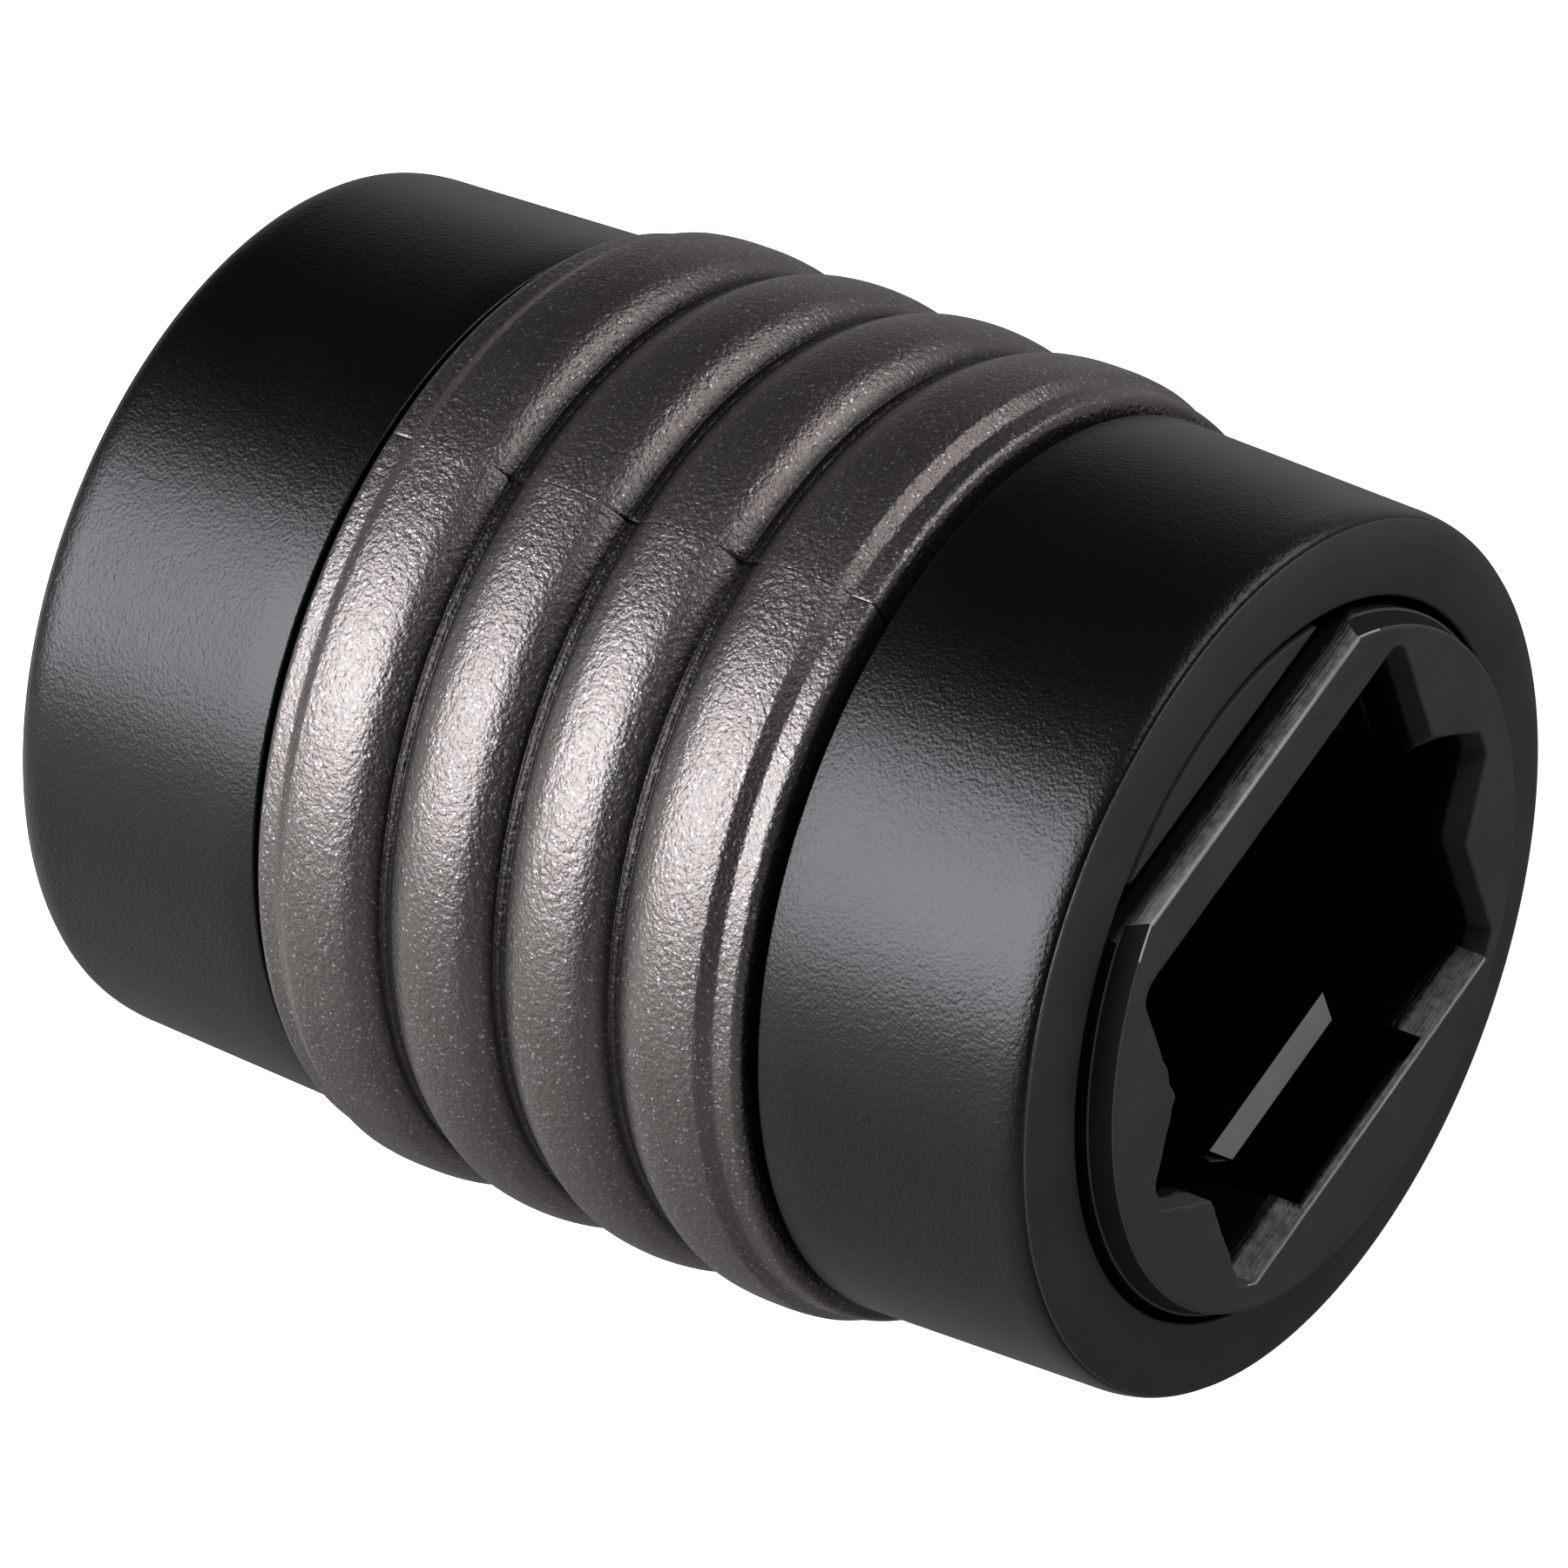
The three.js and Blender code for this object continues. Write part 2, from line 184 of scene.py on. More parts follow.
# Direction, cosine at the glow's edge, and level: the wall in front, the table at the lower
# left, and the sweep behind.
GLOWS = (
    (Vector((0.47, -0.88, 0.0)), 0.86, 0.085),
    (Vector((-0.30, 0.50, -0.80)), 0.50, 0.22),
    (Vector((-0.20, 0.95, -0.20)), 0.73, 0.55),
)
for towards, edge, level in GLOWS:
    facing = nodes.new("ShaderNodeVectorMath")
    facing.operation = "DOT_PRODUCT"
    facing.inputs[1].default_value = towards.normalized()
    links.new(where.outputs["Generated"], facing.inputs[0])
    glow = nodes.new("ShaderNodeMapRange")
    glow.inputs["From Min"].default_value = edge
    glow.inputs["To Max"].default_value = level
    links.new(facing.outputs["Value"], glow.inputs["Value"])
    both = nodes.new("ShaderNodeVectorMath")
    both.operation = "ADD"
    links.new(total, both.inputs[0])
    links.new(glow.outputs["Result"], both.inputs[1])
    total = both.outputs["Vector"]
links.new(total, sky.inputs["Color"])
links.new(seen.outputs["Is Camera Ray"], mix.inputs["Fac"])
links.new(sky.outputs["Background"], mix.inputs[1])
links.new(white.outputs["Background"], mix.inputs[2])
links.new(mix.outputs["Shader"], out.inputs["Surface"])
# Height from straight down (0) to straight up (1), and the sky's level there.
SKY_LEVELS = ((0.13, 0.09), (0.25, 0.33), (0.38, 0.38), (0.50, 0.18), (0.64, 0.03), (0.76, 0.018))
stops = ramp.color_ramp.elements
stops[0].position = 0.0
stops[0].color = (0.06, 0.06, 0.06, 1)
stops[1].position = 1.0
stops[1].color = (0.03, 0.03, 0.031, 1)
for position, level in SKY_LEVELS:
    stop = stops.new(position)
    stop.color = (level, level, level, 1)
bpy.context.scene.view_settings.view_transform = "Standard"

# %% [markdown]
# ## Tools for the finishes
#
# Every finish here is a plastic or a metal with a fine grain, so one small helper sets up the
# shader and another adds a bump. Texture positions come from the object's own coordinates in
# metres, which makes a grain size easy to state in millimetres.

# %% Finish helpers


def grain(nodes, links, where, cell_mm, detail=2.0, stretch=(1, 1, 1), roughness=0.5):
    """A cloudy noise whose cells are about cell_mm across."""
    spread = nodes.new("ShaderNodeMapping")
    spread.inputs["Scale"].default_value = [1000.0 / cell_mm * k for k in stretch]
    cloud = nodes.new("ShaderNodeTexNoise")
    cloud.inputs["Scale"].default_value = 1.0
    cloud.inputs["Detail"].default_value = detail
    cloud.inputs["Roughness"].default_value = roughness
    links.new(where.outputs["Object"], spread.inputs["Vector"])
    links.new(spread.outputs["Vector"], cloud.inputs["Vector"])
    return cloud


def between(nodes, links, source, low, high, from_low=0.3, from_high=0.7):
    """Stretches a noise value to run from low to high."""
    reach = nodes.new("ShaderNodeMapRange")
    reach.inputs["From Min"].default_value = from_low
    reach.inputs["From Max"].default_value = from_high
    reach.inputs["To Min"].default_value = low
    reach.inputs["To Max"].default_value = high
    links.new(source, reach.inputs["Value"])
    return reach.outputs["Result"]


def relief(nodes, links, source, depth_mm, before=None):
    """A bump whose full height is depth_mm, on top of another one if given."""
    bump = nodes.new("ShaderNodeBump")
    bump.inputs["Strength"].default_value = 1.0
    bump.inputs["Distance"].default_value = depth_mm * MM
    links.new(source, bump.inputs["Height"])
    if before is not None:
        links.new(before.outputs["Normal"], bump.inputs["Normal"])
    return bump


def shade(nodes, links, source, dark, light, from_low=0.3, from_high=0.7):
    """Colour that runs from dark to light with a value."""
    tint = nodes.new("ShaderNodeValToRGB")
    tint.color_ramp.elements[0].position = from_low
    tint.color_ramp.elements[0].color = (*dark, 1)
    tint.color_ramp.elements[1].position = from_high
    tint.color_ramp.elements[1].color = (*light, 1)
    links.new(source, tint.inputs["Fac"])
    return tint.outputs["Color"]


def new_finish(name):
    material = bpy.data.materials.new(name)
    material.use_nodes = True
    nodes, links = material.node_tree.nodes, material.node_tree.links
    where = nodes.new("ShaderNodeTexCoord")
    return material, nodes, links, where, nodes["Principled BSDF"]


# %% [markdown]
# ## Sleeve black: moulded plastic with a leather grain
#
# The sleeves are moulded in black plastic from a mould with a fine leather grain, about 0.08 mm
# from hill to hill. In the softbox's reflection the grain shows as a restless sparkle, and
# elsewhere the sleeve is plain black. Two noises of different size make the grain, and a slow
# third one lets the gloss drift a little, as it does on a real moulding.

# %% Sleeve black


def make_sleeve_black():
    material, nodes, links, where, shader = new_finish("sleeve_black")
    fine = grain(nodes, links, where, 0.065, detail=2.5)
    wide = grain(nodes, links, where, 0.15, detail=1.0)
    slow = grain(nodes, links, where, 3.5, detail=2.0)
    low = relief(nodes, links, wide.outputs["Fac"], 0.006)
    top = relief(nodes, links, fine.outputs["Fac"], 0.011, low)
    links.new(top.outputs["Normal"], shader.inputs["Normal"])
    dark, light = (0.0006, 0.0006, 0.0007), (0.0012, 0.0012, 0.0013)
    colour = shade(nodes, links, fine.outputs["Fac"], dark, light)
    links.new(colour, shader.inputs["Base Color"])
    links.new(between(nodes, links, slow.outputs["Fac"], 0.29, 0.34), shader.inputs["Roughness"])
    shader.inputs["IOR"].default_value = 1.5
    shader.inputs["Specular IOR Level"].default_value = 0.5
    return material


SLEEVE_BLACK = make_sleeve_black()
print("made", SLEEVE_BLACK.name)

# %% [markdown]
# ## Grip paint: pearl over a hammered grain
#
# The grip is painted a grey-brown pearl colour. The paint holds tiny flakes, so it is brighter
# where it faces the softbox, and single flakes flash. A mostly metallic shader with a wide gloss
# gives the soft band, two noises give the wavy hammered surface, and a few small cells picked by
# their own random number give the flashes. The colour is also darkened where the distance from
# the axis is small, a painted shade in the bottom of the grooves.

# %% Grip paint
GROOVE_BOTTOM, GROOVE_TOP, LAST_GROOVE = 8.40, 8.53, 3.5


def groove_shade_share(nodes, links, where):
    """One on the rings and about a fifth in the bottom of the grooves, a painted shade there."""
    split = nodes.new("ShaderNodeSeparateXYZ")
    around = nodes.new("ShaderNodeVectorMath")
    around.operation = "MULTIPLY"
    around.inputs[1].default_value = (1, 0, 1)
    radius = nodes.new("ShaderNodeVectorMath")
    radius.operation = "LENGTH"
    along = nodes.new("ShaderNodeMath")
    along.operation = "ABSOLUTE"
    unshaded = nodes.new("ShaderNodeMath")
    unshaded.operation = "MAXIMUM"
    links.new(where.outputs["Object"], split.inputs[0])
    links.new(where.outputs["Object"], around.inputs[0])
    links.new(around.outputs["Vector"], radius.inputs[0])
    links.new(split.outputs["Y"], along.inputs[0])
    low, high, last = GROOVE_BOTTOM * MM, GROOVE_TOP * MM, LAST_GROOVE * MM
    raised = between(nodes, links, radius.outputs["Value"], 0.22, 1.0, low, high)
    outside = between(nodes, links, along.outputs[0], 0.0, 1.0, last, last + 0.1 * MM)
    links.new(raised, unshaded.inputs[0])
    links.new(outside, unshaded.inputs[1])
    return unshaded.outputs[0]


def make_grip_paint():
    material, nodes, links, where, shader = new_finish("grip_paint")
    wavy = grain(nodes, links, where, 0.115, detail=2.0, roughness=0.5)
    fine = grain(nodes, links, where, 0.06, detail=1.0)
    slow = grain(nodes, links, where, 2.5, detail=2.0)
    flakes = nodes.new("ShaderNodeTexVoronoi")
    flakes.inputs["Scale"].default_value = 1000.0 / 0.04
    links.new(where.outputs["Object"], flakes.inputs["Vector"])
    pick = nodes.new("ShaderNodeSeparateColor")
    links.new(flakes.outputs["Color"], pick.inputs["Color"])
    bright = between(nodes, links, pick.outputs["Red"], 0.0, 1.0, 0.95, 0.985)
    low = relief(nodes, links, wavy.outputs["Fac"], 0.024)
    mid = relief(nodes, links, fine.outputs["Fac"], 0.012, low)
    top = relief(nodes, links, pick.outputs["Green"], 0.001, mid)
    links.new(top.outputs["Normal"], shader.inputs["Normal"])
    paint = shade(nodes, links, slow.outputs["Fac"], (0.176, 0.156, 0.147), (0.204, 0.181, 0.171))
    mix = nodes.new("ShaderNodeMix")
    mix.data_type = "RGBA"
    mix.inputs["B"].default_value = (0.52, 0.50, 0.49, 1)
    links.new(bright, mix.inputs["Factor"])
    links.new(paint, mix.inputs["A"])
    # The colour is darkened in the grooves, a painted shade.
    dim = nodes.new("ShaderNodeVectorMath")
    dim.operation = "SCALE"
    links.new(mix.outputs["Result"], dim.inputs[0])
    links.new(groove_shade_share(nodes, links, where), dim.inputs["Scale"])
    links.new(dim.outputs["Vector"], shader.inputs["Base Color"])
    links.new(between(nodes, links, fine.outputs["Fac"], 0.33, 0.41), shader.inputs["Roughness"])
    shader.inputs["Metallic"].default_value = 0.95
    return material


GRIP_PAINT = make_grip_paint()
print("made", GRIP_PAINT.name)

# %% [markdown]
# ## The plain plastics, from nose grey to bush grey
#
# The socket noses and the flat ends of the sleeves are the same dark plastic straight from the
# tool: nearly smooth, with a fine grain. The flat of the nose and the mouth's floor face upwards
# and are given a pale colour over a streaky grain, which is painted light, and the upward edges
# there are paler still, a painted highlight. The side of the nose is painted black as shade, and
# the pieces deep inside stay black. One recipe makes them all, with its colour, gloss, grain,
# scratches and shine as numbers, and a second helper fades the pale finish to black behind the
# proud end of the nose, a painted shade. The levels are set for the look under these lights, and
# are lower on the black pieces than real plastic measures.

# %% Plain plastics


def make_plastic(
    name, dark, light, gloss, cell_mm=0.09, depth_mm=0.003, scratches=0.0, shine=0.4, mottle_mm=1.6
):
    """Colours are linear; gloss is the middle of the roughness."""
    material, nodes, links, where, shader = new_finish(name)
    fine = grain(nodes, links, where, cell_mm, detail=3.0)
    slow = grain(nodes, links, where, mottle_mm, detail=3.0)
    bump = relief(nodes, links, fine.outputs["Fac"], depth_mm)
    if scratches > 0:
        lines = grain(nodes, links, where, 0.05, detail=1.0, stretch=(0.06, 1, 1))
        bump = relief(nodes, links, lines.outputs["Fac"], scratches, bump)
    links.new(bump.outputs["Normal"], shader.inputs["Normal"])
    links.new(shade(nodes, links, slow.outputs["Fac"], dark, light), shader.inputs["Base Color"])
    uneven = between(nodes, links, slow.outputs["Fac"], gloss - 0.04, gloss + 0.04)
    links.new(uneven, shader.inputs["Roughness"])
    shader.inputs["Specular IOR Level"].default_value = shine
    return material


def paint_shade_behind_reach(material, reach_mm, blend_mm=0.05):
    """Keeps the light finish beyond a reach from the middle and paints the rest black, a painted
    shade.
    """
    nodes, links = material.node_tree.nodes, material.node_tree.links
    shader = nodes["Principled BSDF"]
    where = nodes.new("ShaderNodeTexCoord")
    split = nodes.new("ShaderNodeSeparateXYZ")
    size = nodes.new("ShaderNodeMath")
    size.operation = "ABSOLUTE"
    ragged = grain(nodes, links, where, 0.12, detail=2.0)
    add = nodes.new("ShaderNodeMath")
    add.operation = "MULTIPLY_ADD"
    add.inputs[1].default_value = 0.12 * MM
    links.new(where.outputs["Object"], split.inputs[0])
    links.new(split.outputs["Y"], size.inputs[0])
    links.new(ragged.outputs["Fac"], add.inputs[0])
    links.new(size.outputs[0], add.inputs[2])
    # The ragged noise adds half its height on average, so the edge moves out by as much.
    reach, blend = (reach_mm + 0.06) * MM, blend_mm * MM
    proud = between(nodes, links, add.outputs[0], 0.0, 1.0, reach - blend, reach + blend)
    mix = nodes.new("ShaderNodeMix")
    mix.data_type = "RGBA"
    # The black behind the reach is a painted shade.
    mix.inputs["A"].default_value = (0.003, 0.003, 0.003, 1)
    links.new(proud, mix.inputs["Factor"])
    links.new(shader.inputs["Base Color"].links[0].from_socket, mix.inputs["B"])
    links.new(mix.outputs["Result"], shader.inputs["Base Color"])
    return material


NOSE_FACE_REACH, WALL_REACH = 10.92, 10.84
NOSE_GREY = make_plastic(
    "nose_grey", (0.082, 0.082, 0.085), (0.104, 0.104, 0.107), 0.55, cell_mm=0.08, depth_mm=0.014
)
# Behind its reach the nose's finish turns black, a painted shade.
paint_shade_behind_reach(NOSE_GREY, NOSE_FACE_REACH)
# The upward faces of the nose's flat and the mouth's floor: the pale colour is painted light, over
# a streaky grain.
PAINTED_LIGHT_GREY = make_plastic(
    "wall_painted_light_grey",
    (0.17, 0.17, 0.174),
    (0.42, 0.42, 0.428),
    0.5,
    cell_mm=0.07,
    depth_mm=0.024,
    scratches=0.030,
    mottle_mm=0.20,
)
# Behind its reach the pale wall turns black, a painted shade.
paint_shade_behind_reach(PAINTED_LIGHT_GREY, WALL_REACH)
# The nose's side is the same plastic as its face, painted near black as shade.
NOSE_SIDE_SHADE = make_plastic(
    "nose_side_painted_shade",
    (0.008, 0.008, 0.008),
    (0.014, 0.014, 0.014),
    0.6,
    cell_mm=0.08,
    depth_mm=0.008,
    shine=0.15,
)
# The upward-facing edges of the mouth get a near-white colour, a painted highlight.
EDGE_HIGHLIGHT_GREY = make_plastic(
    "edge_painted_highlight_grey", (0.50, 0.50, 0.51), (0.80, 0.80, 0.81), 0.5, cell_mm=0.06, depth_mm=0.006
)
FACE_GREY = make_plastic(
    "face_grey", (0.062, 0.062, 0.065), (0.080, 0.080, 0.083), 0.50, depth_mm=0.008, scratches=0.002
)
KEY_GREY = make_plastic(
    "key_grey", (0.072, 0.072, 0.075), (0.086, 0.086, 0.089), 0.50, depth_mm=0.008
)
CORE_BLACK = make_plastic("core_black", (0.001, 0.001, 0.001), (0.002, 0.002, 0.002), 0.6)
GUIDE_BLACK = make_plastic(
    "guide_black", (0.0008, 0.0008, 0.0008), (0.0012, 0.0012, 0.0012), 0.6, shine=0.08
)
LATCH_BLACK = make_plastic("latch_black", (0.002, 0.002, 0.002), (0.003, 0.003, 0.003), 0.5)
BUSH_GREY = make_plastic("bush_grey", (0.010, 0.010, 0.011), (0.014, 0.014, 0.015), 0.45)
print("made the plastics")

# %% [markdown]
# ## Spring steel
#
# The leaf springs are cut from rolled strip. Rolling leaves faint lines along the strip, so a
# noise stretched along the spring drives both the roughness and a very shallow bump. The same
# recipe gives a nearly black steel for the tip, a painted shade for its place under the lower
# lip. The same recipe gives a nearly black steel for the tip, which has to stay dark.

# %% Spring steel


def make_spring_steel(name, dark, light):
    material, nodes, links, where, shader = new_finish(name)
    rolled = grain(nodes, links, where, 0.03, detail=2.0, stretch=(1, 0.05, 1))
    cloud = grain(nodes, links, where, 0.7, detail=2.0)
    bump = relief(nodes, links, rolled.outputs["Fac"], 0.0004)
    links.new(bump.outputs["Normal"], shader.inputs["Normal"])
    links.new(shade(nodes, links, cloud.outputs["Fac"], dark, light), shader.inputs["Base Color"])
    links.new(between(nodes, links, rolled.outputs["Fac"], 0.14, 0.20), shader.inputs["Roughness"])
    shader.inputs["Metallic"].default_value = 1.0
    return material


SPRING_STEEL = make_spring_steel("spring_steel", (0.42, 0.42, 0.43), (0.48, 0.48, 0.49))
# A nearly black steel for the tip, a painted shade under the lower lip.
TIP_SHADE_STEEL = make_spring_steel("tip_painted_shade_steel", (0.02, 0.02, 0.02), (0.04, 0.04, 0.04))
print("made", SPRING_STEEL.name, "and", TIP_SHADE_STEEL.name)

# %% [markdown]
# ## Tools for the shapes
#
# Nearly all of this object is either turned or extruded. A turned piece is an outline of radius
# and reach swept round the axis; "reach" is the distance from the middle of the coupler towards
# the front. Sharp corners never look real, so a helper first replaces the corners of an outline
# with small arcs.

# %% Outline and ring helpers


def soften(points, radii, steps=4, closed=True):
    """Replaces each corner that has a radius with a small arc."""
    made = []
    count = len(points)
    for i, (x, y) in enumerate(points):
        r = radii[i] if isinstance(radii, (list, tuple)) else radii
        if r <= 0 or (not closed and i in (0, count - 1)):
            made.append((x, y))
            continue
        here = Vector((x, y))
        a = Vector(points[i - 1]) - here
        b = Vector(points[(i + 1) % count]) - here
        la, lb = a.length, b.length
        a, b = a / la, b / lb
        half = math.acos(max(-1.0, min(1.0, a.dot(b)))) / 2
        if half > math.radians(86):
            made.append((x, y))
            continue
        back = min(r / math.tan(half), 0.48 * la, 0.48 * lb)
        r = back * math.tan(half)
        centre = here + (a + b).normalized() * (r / math.sin(half))
        start, end = here + a * back - centre, here + b * back - centre
        sweep = math.pi - 2 * half
        sign = 1 if start.x * end.y - start.y * end.x > 0 else -1
        for k in range(steps + 1):
            t = sign * sweep * k / steps
            c, s = math.cos(t), math.sin(t)
            spoke = Vector((c * start.x - s * start.y, s * start.x + c * start.y))
            made.append(tuple(centre + spoke))
    return made


def finish_mesh(bm, name, material, sharp=32.0, weighted=True):
    """Turns a bmesh into a smooth-shaded object in the scene."""
    bmesh.ops.recalc_face_normals(bm, faces=bm.faces)
    mesh = bpy.data.meshes.new(name)
    bm.to_mesh(mesh)
    bm.free()
    mesh.materials.append(material)
    mesh.shade_smooth()
    mesh.set_sharp_from_angle(angle=math.radians(sharp))
    piece = bpy.data.objects.new(name, mesh)
    bpy.context.scene.collection.objects.link(piece)
    if weighted:
        normals = piece.modifiers.new("flat_faces_stay_flat", "WEIGHTED_NORMAL")
        normals.keep_sharp = True
        normals.weight = 90
    return piece


def turned(name, outline, material, steps=256):
    """A ring swept round the axis from a closed outline of (radius, reach) in mm."""
    bm = bmesh.new()
    rows = []
    for i in range(steps):
        a = 2 * math.pi * i / steps
        c, s = math.cos(a) * MM, math.sin(a) * MM
        rows.append([bm.verts.new((r * c, -reach * MM, r * s)) for r, reach in outline])
    for i in range(steps):
        here, there = rows[i], rows[(i + 1) % steps]
        for k in range(len(outline)):
            bm.faces.new((here[k], here[k - 1], there[k - 1], there[k]))
    return finish_mesh(bm, name, material)


def place(piece, end, node, body, slot):
    """Turns a front piece to its end and hands it to the frame."""
    if end == "rear":
        piece.data.transform(Matrix.Rotation(math.pi, 4, "Z"))
    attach(piece, body)
    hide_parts(node)
    return piece


# %% [markdown]
# ## End sleeves
#
# Each sleeve is a moulded cup with a hole. Its outside tapers a little towards the open end so
# that it leaves the mould, the edge of its face is softly rounded, and its face is flat up to a
# shallow fall near the rim. The outline below is turned round the axis; the flat face gets the
# grey tool finish and the rest the leather grain, as on the real part.

# %% End sleeves
SLEEVE = dict(
    face=10.9,
    rim=10.2,
    foot=5.42,
    rim_r=8.1,
    foot_r=8.25,
    mouth_r=6.6,
    foot_bore=7.6,
    shoulder=8.45,
)
# The face is flat, then falls a tenth of a millimetre to a fine step inside the rounded rim.
SLEEVE_FACE = [
    (7.2, 10.9),
    (7.5, 10.9),
    (7.65, 10.885),
    (7.8, 10.85),
    (7.945, 10.808),
    (7.958, 10.800),
    (7.968, 10.785),
    (7.972, 10.762),
]
FACE_EDGE_R, FACE_EDGE_REACH = 7.966, 10.79


def sleeve_outline():
    s = SLEEVE
    rim = []
    for i in range(13):
        a = math.radians(86) * (1 - i / 12)
        rim.append((7.962 + 0.138 * math.cos(a), s["rim"] + 0.56 * math.sin(a)))
    bore = [
        (s["foot_bore"], s["foot"]),
        (s["foot_bore"], s["shoulder"]),
        (s["mouth_r"], s["shoulder"]),
        (s["mouth_r"], s["face"]),
    ]
    inside = soften(bore, [0.08, 0.0, 0.05, 0.05], closed=False)
    quarter = [k * math.pi / 8 for k in range(5)]
    mouth = [
        (s["mouth_r"] + 0.06 * (1 - math.cos(t)), s["face"] - 0.06 * (1 - math.sin(t)))
        for t in quarter
    ]
    turn = s["foot"] + 0.05
    taper = [
        (s["rim_r"] + (s["foot_r"] - s["rim_r"]) * k / 6, s["rim"] + (turn - s["rim"]) * k / 6)
        for k in range(1, 7)
    ]
    foot = [
        (s["foot_r"] - 0.05 * (1 - math.cos(t)), turn - 0.05 * math.sin(t)) for t in quarter[1:]
    ]
    return mouth + SLEEVE_FACE + rim + taper + foot + inside[:-1]


def make_sleeve(end):
    sleeve = turned(f"{end}_end_sleeve", sleeve_outline(), SLEEVE_BLACK, steps=320)
    sleeve.data.materials.append(FACE_GREY)
    for face in sleeve.data.polygons:
        r = math.hypot(face.center.x, face.center.z) / MM
        if -face.center.y / MM > FACE_EDGE_REACH and r < FACE_EDGE_R:
            face.material_index = 1
    return place(sleeve, end, f"{end}_end_sleeve", "root", "sleeve_black")


for end in ("front", "rear"):
    made = make_sleeve(end)
    print(made.name, len(made.data.polygons), "faces")

# %% [markdown]
# ## The ringed grip
#
# The grip is a sleeve of two half shells with four rounded rings. The two outer rings are wider:
# they fall slowly, drop over a short steep step to a flat rim, and roll over at the end. The
# halves were moulded in tools that don't match to the last hair. One half rises a few hundredths
# towards the joint and ends in a tiny ridge, and in the grooves the joint opens to a dark notch.
# That mismatch is what makes the joint read as a real parting line, so it is modelled, not
# painted.
#
# The rings could be lofted between circles, but their soft look depends on the slope at every
# point. So the slope is drawn first, as it runs from a groove to a crest, and then summed up to
# a height.

# %% Grip shells
GRIP = dict(half=5.2, bore=7.6, crest=8.79, valley=8.4, pitch=2.46, shoulder=3.9, bead=5.0)
PARTING_TURN = math.radians(8.2)
JOINT = dict(gap=0.008, notch=0.030, drop=0.03, rise=0.9, ridge=0.008, roll=0.02)
HALF_PITCH, SHOULDER_WIDTH, JOINT_R = 1.23, 1.10, 8.6


def ease(x, start, end, before, after):
    t = min(1.0, max(0.0, (x - start) / (end - start)))
    return before + (after - before) * t * t * (3 - 2 * t)


def table_of(slope, span, steps=600):
    """Adds a slope up along a span, so that a profile can be looked up."""
    total, sums = 0.0, [0.0]
    for i in range(steps):
        total += slope((i + 0.5) * span / steps) * span / steps
        sums.append(total)
    return lambda x: sums[min(steps, max(0, round(x / span * steps)))]


def ring_slope(x):
    """From a groove's floor: a short steep flank, then a wide rounded crest."""
    if x < 0.28:
        return ease(x, 0.05, 0.13, 0.0, 0.68)
    return ease(x, 0.28, 0.86, 0.68, 0.13) * min(1.0, (HALF_PITCH - x) / 0.36)


def shoulder_slope(x):
    """From the outer crest: a slow fall, a short steep step and a flat rim."""
    if x < 0.48:
        return ease(x, 0.0, 0.48, 0.0, 0.14)
    if x < 0.74:
        return ease(x, 0.48, 0.56, 0.14, 0.66)
    return ease(x, 0.74, 0.84, 0.66, 0.06)


ring_table = table_of(ring_slope, HALF_PITCH)
shoulder_table = table_of(shoulder_slope, SHOULDER_WIDTH)


def grip_radius(distance):
    g, x = GRIP, abs(distance)
    if x < g["pitch"] + g["pitch"] / 2:
        from_groove = min(x, abs(x - g["pitch"]))
        height = ring_table(from_groove) / ring_table(HALF_PITCH)
        r = g["crest"] - (g["crest"] - g["valley"]) * (1 - height)
    else:
        r = g["crest"] - shoulder_table(max(0.0, x - g["shoulder"]))
    # Each groove has a narrow round floor between two hairline folds.
    for valley in (0.0, g["pitch"]):
        s = abs(x - valley)
        floor, fold = math.exp(-((s / 0.045) ** 2)), math.exp(-(((s - 0.100) / 0.030) ** 2))
        r += 0.012 * floor - 0.022 * fold
    return r


def grip_outline():
    g = GRIP
    xs = {0.0}
    x = 0.0
    while x < g["bead"]:
        near = min(abs(x), abs(x - g["pitch"]))
        x += 0.016 if near < 0.17 else (0.075 if x < 4.3 else 0.03)
        xs.add(min(x, g["bead"]))
    half = [(grip_radius(x), x) for x in sorted(xs)]
    top, r, round_r = g["bead"], half[-1][0], g["half"] - g["bead"]
    quarter = [k * math.pi / 16 for k in range(1, 9)]
    half += [(r - round_r * (1 - math.cos(t)), top + round_r * math.sin(t)) for t in quarter]
    return [(r, -x) for r, x in reversed(half[1:])] + half


